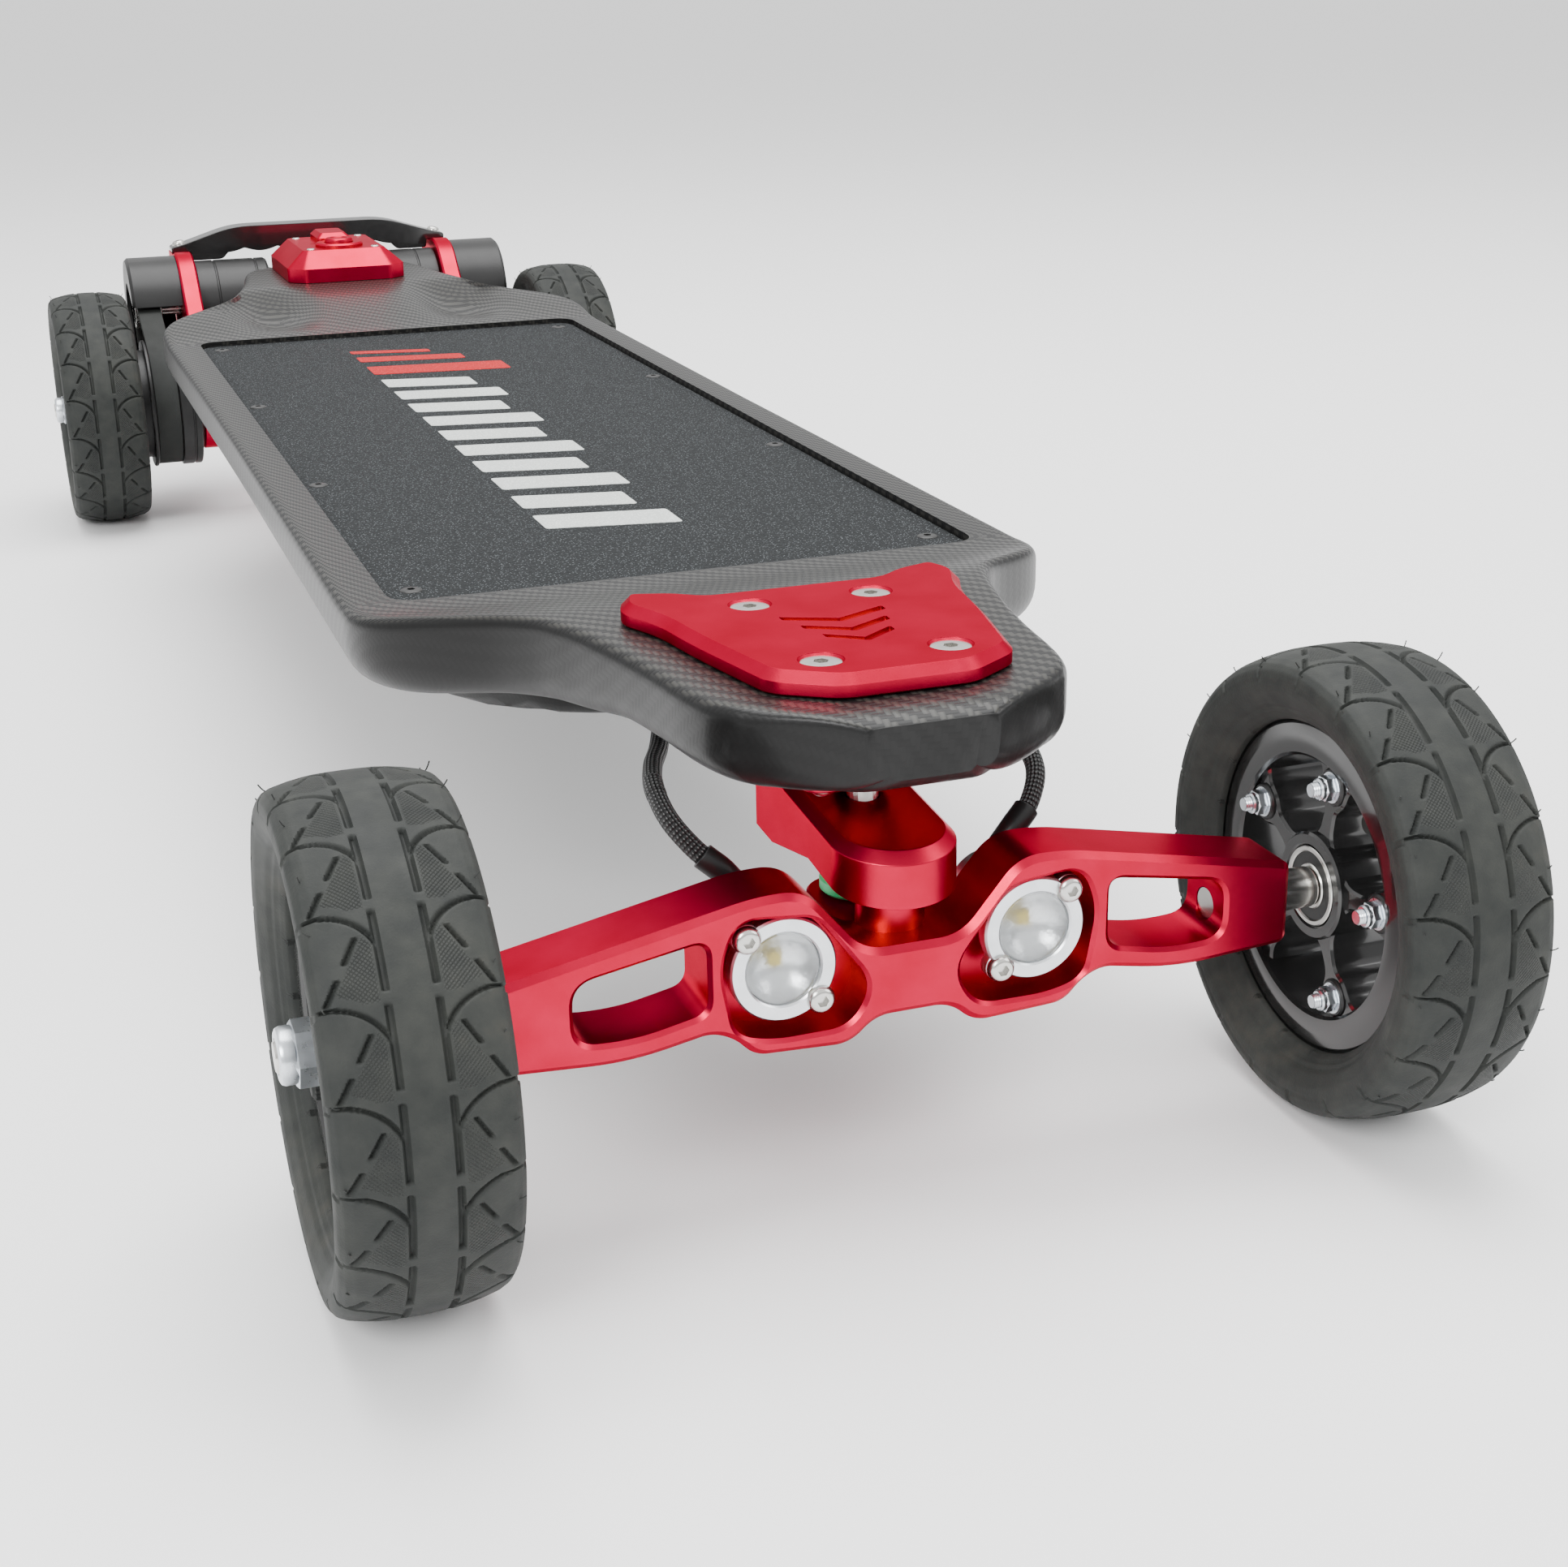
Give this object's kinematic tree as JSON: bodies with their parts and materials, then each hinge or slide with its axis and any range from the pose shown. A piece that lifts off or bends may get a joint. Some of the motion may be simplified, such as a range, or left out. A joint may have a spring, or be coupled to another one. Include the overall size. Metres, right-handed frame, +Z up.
{
  "type": "electric skateboard",
  "caption": "Carbon electric skateboard with sprung double-pivot trucks, air tyres, headlights in the front hanger, twin rear belt drives and a carry handle.",
  "frame": {"origin": "on the floor under the centre of the bounding box, on the board's centre line", "axes": "+X across the board, +Y along the board from nose to tail, +Z up"},
  "size_m": [0.3826, 1.2084, 0.1865],
  "materials": {
    "carbon": "satin lacquered twill carbon fibre",
    "grip": "coarse grit on a dark sheet",
    "red_aluminium": "satin red anodised",
    "black_aluminium": "satin black anodised",
    "steel": "bright zinc and stainless",
    "tyre": "matt black rubber",
    "urethane": "satin green urethane",
    "lens": "clear moulded optic",
    "lamp": "satin silver",
    "braid": "black braided sleeve",
    "belt": "matt black",
    "battery": "shrink wrap",
    "controller": "satin grey"
  },
  "bodies": {
    "deck": {"deck_shell": "carbon", "grip_panel": "grip", "battery_pack": "battery", "motor_controller": "controller", "nose_plate": "red_aluminium", "tail_block": "red_aluminium", "front_baseplate": "red_aluminium", "rear_baseplate": "red_aluminium", "front_deck_pivot_bolt": "steel", "rear_deck_pivot_bolt": "steel"},
    "power_button": {"power_button": "red_aluminium"},
    "front_arm": {"front_arm": "red_aluminium", "left_light_lead": "braid", "right_light_lead": "braid"},
    "rear_arm": {"rear_arm": "red_aluminium"},
    "front_hanger": {"front_hanger": "red_aluminium", "front_hanger_pivot_pin": "steel", "front_bushing": "urethane", "left_headlight": "lamp", "right_headlight": "lamp", "left_headlight_lens": "lens", "right_headlight_lens": "lens", "front_left_axle": "steel", "front_right_axle": "steel", "front_left_axle_nut": "steel", "front_right_axle_nut": "steel"},
    "rear_hanger": {"rear_hanger": "red_aluminium", "rear_hanger_pivot_pin": "steel", "rear_bushing": "urethane", "rear_left_axle": "steel", "rear_right_axle": "steel", "rear_left_axle_nut": "steel", "rear_right_axle_nut": "steel", "left_motor_mount": "red_aluminium", "right_motor_mount": "red_aluminium", "left_motor": "black_aluminium", "right_motor": "black_aluminium", "left_pulley_cover": "black_aluminium", "right_pulley_cover": "black_aluminium", "left_drive_belt": "belt", "right_drive_belt": "belt", "carry_handle": "black_aluminium"},
    "left_motor_pulley": {"left_motor_pulley": "steel"},
    "right_motor_pulley": {"right_motor_pulley": "steel"},
    "front_left_wheel": {"front_left_tyre": "tyre", "front_left_hub": "black_aluminium", "front_left_bearings": "steel"},
    "front_right_wheel": {"front_right_tyre": "tyre", "front_right_hub": "black_aluminium", "front_right_bearings": "steel"},
    "rear_left_wheel": {"rear_left_tyre": "tyre", "rear_left_hub": "black_aluminium", "rear_left_bearings": "steel", "left_wheel_pulley": "black_aluminium"},
    "rear_right_wheel": {"rear_right_tyre": "tyre", "rear_right_hub": "black_aluminium", "rear_right_bearings": "steel", "right_wheel_pulley": "black_aluminium"}
  },
  "joints": [
    {"name": "front_arm_swivel", "type": "hinge", "parent": "deck", "child": "front_arm", "pos_m": [0, -0.4958, 0.132], "axis": [0, 0.1736, 0.9848], "range_deg": [-5, 5], "stiffness_Nm_per_rad": 60, "deforming": ["left_light_lead", "right_light_lead"]},
    {"name": "front_hanger_swivel", "type": "hinge", "parent": "front_arm", "child": "front_hanger", "pos_m": [0, -0.5218, 0.104], "axis": [0, -0.0872, 0.9962], "range_deg": [-7, 7], "stiffness_Nm_per_rad": 60, "deforming": ["left_light_lead", "right_light_lead"]},
    {"name": "rear_arm_swivel", "type": "hinge", "parent": "deck", "child": "rear_arm", "pos_m": [0, 0.4682, 0.132], "axis": [0, -0.1736, 0.9848], "range_deg": [-5, 5], "stiffness_Nm_per_rad": 60},
    {"name": "rear_hanger_swivel", "type": "hinge", "parent": "rear_arm", "child": "rear_hanger", "pos_m": [0, 0.4942, 0.104], "axis": [0, 0.0872, 0.9962], "range_deg": [-7, 7], "stiffness_Nm_per_rad": 60},
    {"name": "power_button_press", "type": "slide", "parent": "deck", "child": "power_button", "axis": [0, 0, 1], "range_m": [-0.0015, 0], "stiffness_N_per_m": 600},
    {"name": "front_left_wheel_spin", "type": "hinge", "parent": "front_hanger", "child": "front_left_wheel", "pos_m": [-0.1567, -0.528, 0.0762], "axis": [1, 0, 0], "continuous": true},
    {"name": "front_right_wheel_spin", "type": "hinge", "parent": "front_hanger", "child": "front_right_wheel", "pos_m": [0.1567, -0.528, 0.0762], "axis": [1, 0, 0], "continuous": true},
    {"name": "rear_left_wheel_spin", "type": "hinge", "parent": "rear_hanger", "child": "rear_left_wheel", "pos_m": [-0.162, 0.5004, 0.0762], "axis": [1, 0, 0], "continuous": true},
    {"name": "rear_right_wheel_spin", "type": "hinge", "parent": "rear_hanger", "child": "rear_right_wheel", "pos_m": [0.162, 0.5004, 0.0762], "axis": [1, 0, 0], "continuous": true},
    {"name": "left_motor_spin", "type": "hinge", "parent": "rear_hanger", "child": "left_motor_pulley", "pos_m": [-0.12, 0.5662, 0.13], "axis": [1, 0, 0], "continuous": true},
    {"name": "right_motor_spin", "type": "hinge", "parent": "rear_hanger", "child": "right_motor_pulley", "pos_m": [0.12, 0.5662, 0.13], "axis": [1, 0, 0], "continuous": true}
  ],
  "couplings": [
    {"joint": "left_motor_spin", "follows": "rear_left_wheel_spin", "ratio": 3},
    {"joint": "right_motor_spin", "follows": "rear_right_wheel_spin", "ratio": 3}
  ]
}
